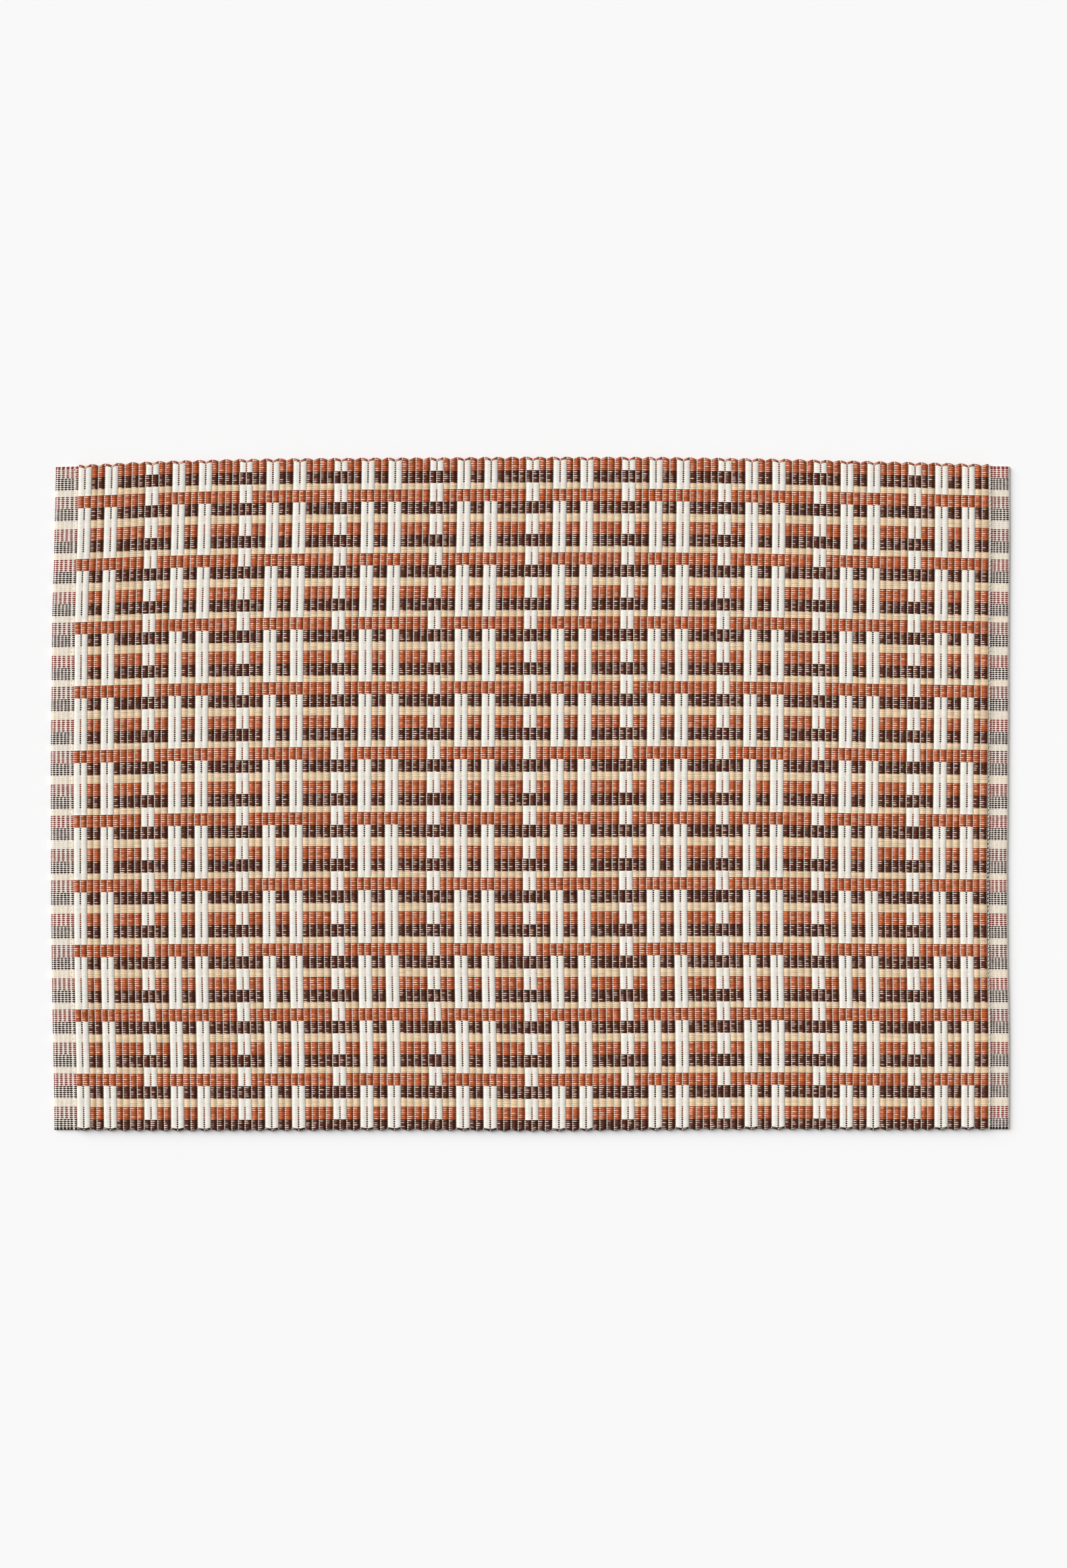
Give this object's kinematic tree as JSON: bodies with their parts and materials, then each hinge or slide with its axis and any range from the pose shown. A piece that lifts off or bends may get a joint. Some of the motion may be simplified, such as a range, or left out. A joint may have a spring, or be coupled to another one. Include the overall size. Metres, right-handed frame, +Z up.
{
  "type": "fabric placemat",
  "caption": "Flat rectangular ribbed cotton placemat in checked stripes, with scalloped selvedges and a turned hem at each short end.",
  "frame": {"origin": "under the middle of the mat's outline, on the surface that it lies on", "axes": "+X along the mat's long side, +Y along its ribs towards the bowed edge, +Z up out of the upper face"},
  "size_m": [0.4988, 0.3516, 0.0032],
  "materials": {
    "striped_cotton": "matt ribbed cotton, in stripes of cream, rust, dark brown and straw yarn"
  },
  "bodies": {
    "root": {"placemat": "striped_cotton"}
  },
  "joints": []
}
